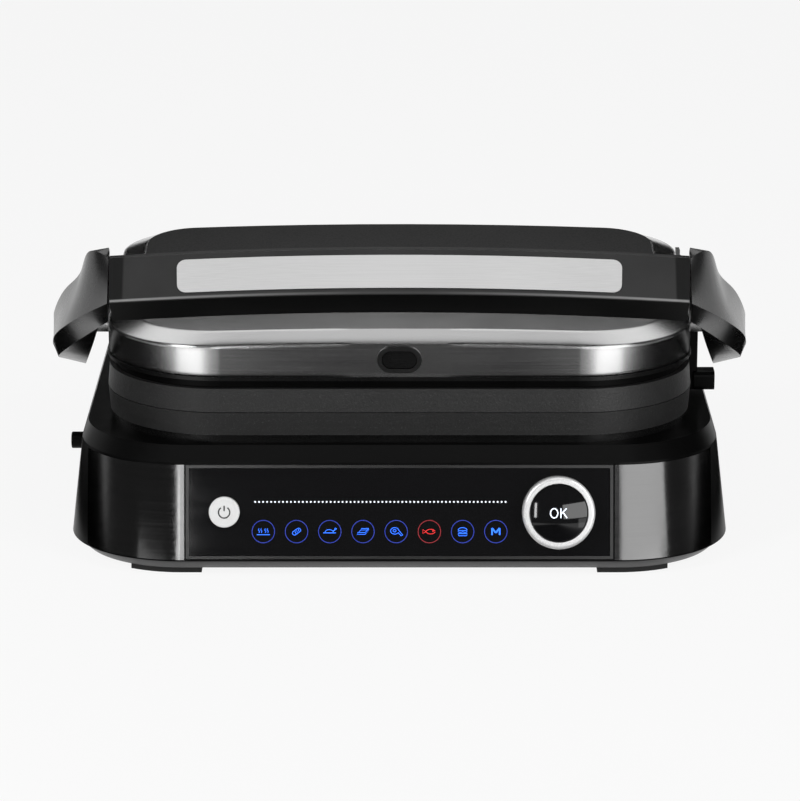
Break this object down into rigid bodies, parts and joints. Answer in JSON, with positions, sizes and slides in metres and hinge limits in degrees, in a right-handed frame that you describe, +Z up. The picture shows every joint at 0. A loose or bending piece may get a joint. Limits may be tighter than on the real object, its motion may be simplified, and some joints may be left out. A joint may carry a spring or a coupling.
{
  "type": "table grill",
  "caption": "Countertop contact grill: floating hinged lid with a full-width bar handle, ribbed cast plates, sloping control panel with a ringed dial, and a pull-out drip tray.",
  "frame": {"origin": "on the table, under the middle of the whole closed grill", "axes": "+X to the right seen from the front, +Y to the rear where the hinge is, +Z up"},
  "size_m": [0.399, 0.315, 0.1786],
  "materials": {
    "black_plastic": "fine satin texture",
    "grey_plastic": "satin, pale chamfer",
    "panel_gloss": "polished black",
    "light_plastic": "clear diffuser",
    "white_plastic": "satin white",
    "dark_steel": "dark brushed",
    "steel": "machined",
    "silver": "fine brushed",
    "gunmetal": "satin metallic",
    "cast": "cast, non-stick coated",
    "bright_sheet": "bright sheet",
    "rubber": "matte",
    "board": "circuit board"
  },
  "bodies": {
    "base": {"base_housing": "black_plastic", "bottom_cover": "grey_plastic", "rubber_feet": "rubber", "cover_screws": "steel", "left_steel_fascia": "dark_steel", "right_steel_fascia": "dark_steel", "panel_frame": "steel", "control_panel": "panel_gloss", "panel_carrier": "black_plastic", "mode_light_guides": "light_plastic", "dot_light_bar": "light_plastic", "control_board": "board", "dial_encoder": "steel", "power_switch": "black_plastic", "plate_collar": "black_plastic", "lower_plate": "cast", "lower_reflector": "bright_sheet", "lower_heating_element": "steel", "lower_element_clips": "bright_sheet", "lower_heat_sensor": "steel", "right_hinge_post": "black_plastic", "left_hinge_post": "black_plastic", "post_screws": "steel", "knob_bracket": "black_plastic", "knob_spring": "steel", "drain_funnel": "black_plastic", "power_board": "board", "cord_gland": "rubber"},
    "dial": {"dial_ring": "silver"},
    "ok_button": {"ok_button": "panel_gloss"},
    "power_button": {"power_button": "white_plastic"},
    "plate_release": {"release_knob": "black_plastic"},
    "drip_tray": {"drip_tray": "black_plastic"},
    "hinge_release": {"hinge_release_slide": "grey_plastic"},
    "hinge_carriage": {"hinge_shaft": "steel", "right_hinge_slider": "black_plastic", "left_hinge_slider": "black_plastic"},
    "lid": {"upper_plate": "cast", "upper_reflector": "bright_sheet", "upper_heating_element": "steel", "upper_element_clips": "bright_sheet", "upper_heat_sensor": "steel", "lid_base": "black_plastic", "lid_trim": "black_plastic", "lid_shell": "dark_steel", "lid_top_panel": "gunmetal", "release_bezel": "black_plastic", "release_guide": "black_plastic", "handle_bar": "black_plastic", "handle_back": "black_plastic", "handle_inlay": "silver", "handle_screws": "steel", "right_arm": "gunmetal", "left_arm": "gunmetal", "arm_pins": "steel", "latch_pin": "steel"},
    "lid_release": {"release_button": "black_plastic"},
    "storage_latch": {"storage_latch": "black_plastic"}
  },
  "joints": [
    {"name": "hinge_float", "type": "slide", "parent": "base", "child": "hinge_carriage", "axis": [0, 0, 1], "range_m": [0, 0.011]},
    {"name": "lid_hinge", "type": "hinge", "parent": "hinge_carriage", "child": "lid", "pos_m": [0, 0.13403, 0.088], "axis": [-1, 0, 0], "range_deg": [0, 178]},
    {"name": "tray_slide", "type": "slide", "parent": "base", "child": "drip_tray", "axis": [0, 1, 0], "range_m": [0, 0.11]},
    {"name": "dial_turn", "type": "hinge", "parent": "base", "child": "dial", "pos_m": [0.0875, -0.14337, 0.0355], "axis": [0, -0.9703, 0.2419], "continuous": true},
    {"name": "ok_press", "type": "slide", "parent": "base", "child": "ok_button", "axis": [0, 0.9703, -0.2419], "range_m": [0, 0.0012], "stiffness_N_per_m": 800},
    {"name": "power_press", "type": "slide", "parent": "base", "child": "power_button", "axis": [0, 0.9703, -0.2419], "range_m": [0, 0.001], "stiffness_N_per_m": 800},
    {"name": "plate_release_press", "type": "slide", "parent": "base", "child": "plate_release", "axis": [1, 0, 0], "range_m": [0, 0.004], "stiffness_N_per_m": 500},
    {"name": "lid_release_press", "type": "slide", "parent": "lid", "child": "lid_release", "axis": [0, 1, 0], "range_m": [0, 0.003], "stiffness_N_per_m": 500},
    {"name": "hinge_release_slide", "type": "slide", "parent": "base", "child": "hinge_release", "axis": [0, 1, 0], "range_m": [0, 0.006]},
    {"name": "latch_swing", "type": "hinge", "parent": "lid", "child": "storage_latch", "pos_m": [0.1695, -0.02, 0.1175], "axis": [1, 0, 0], "range_deg": [0, 80]}
  ]
}
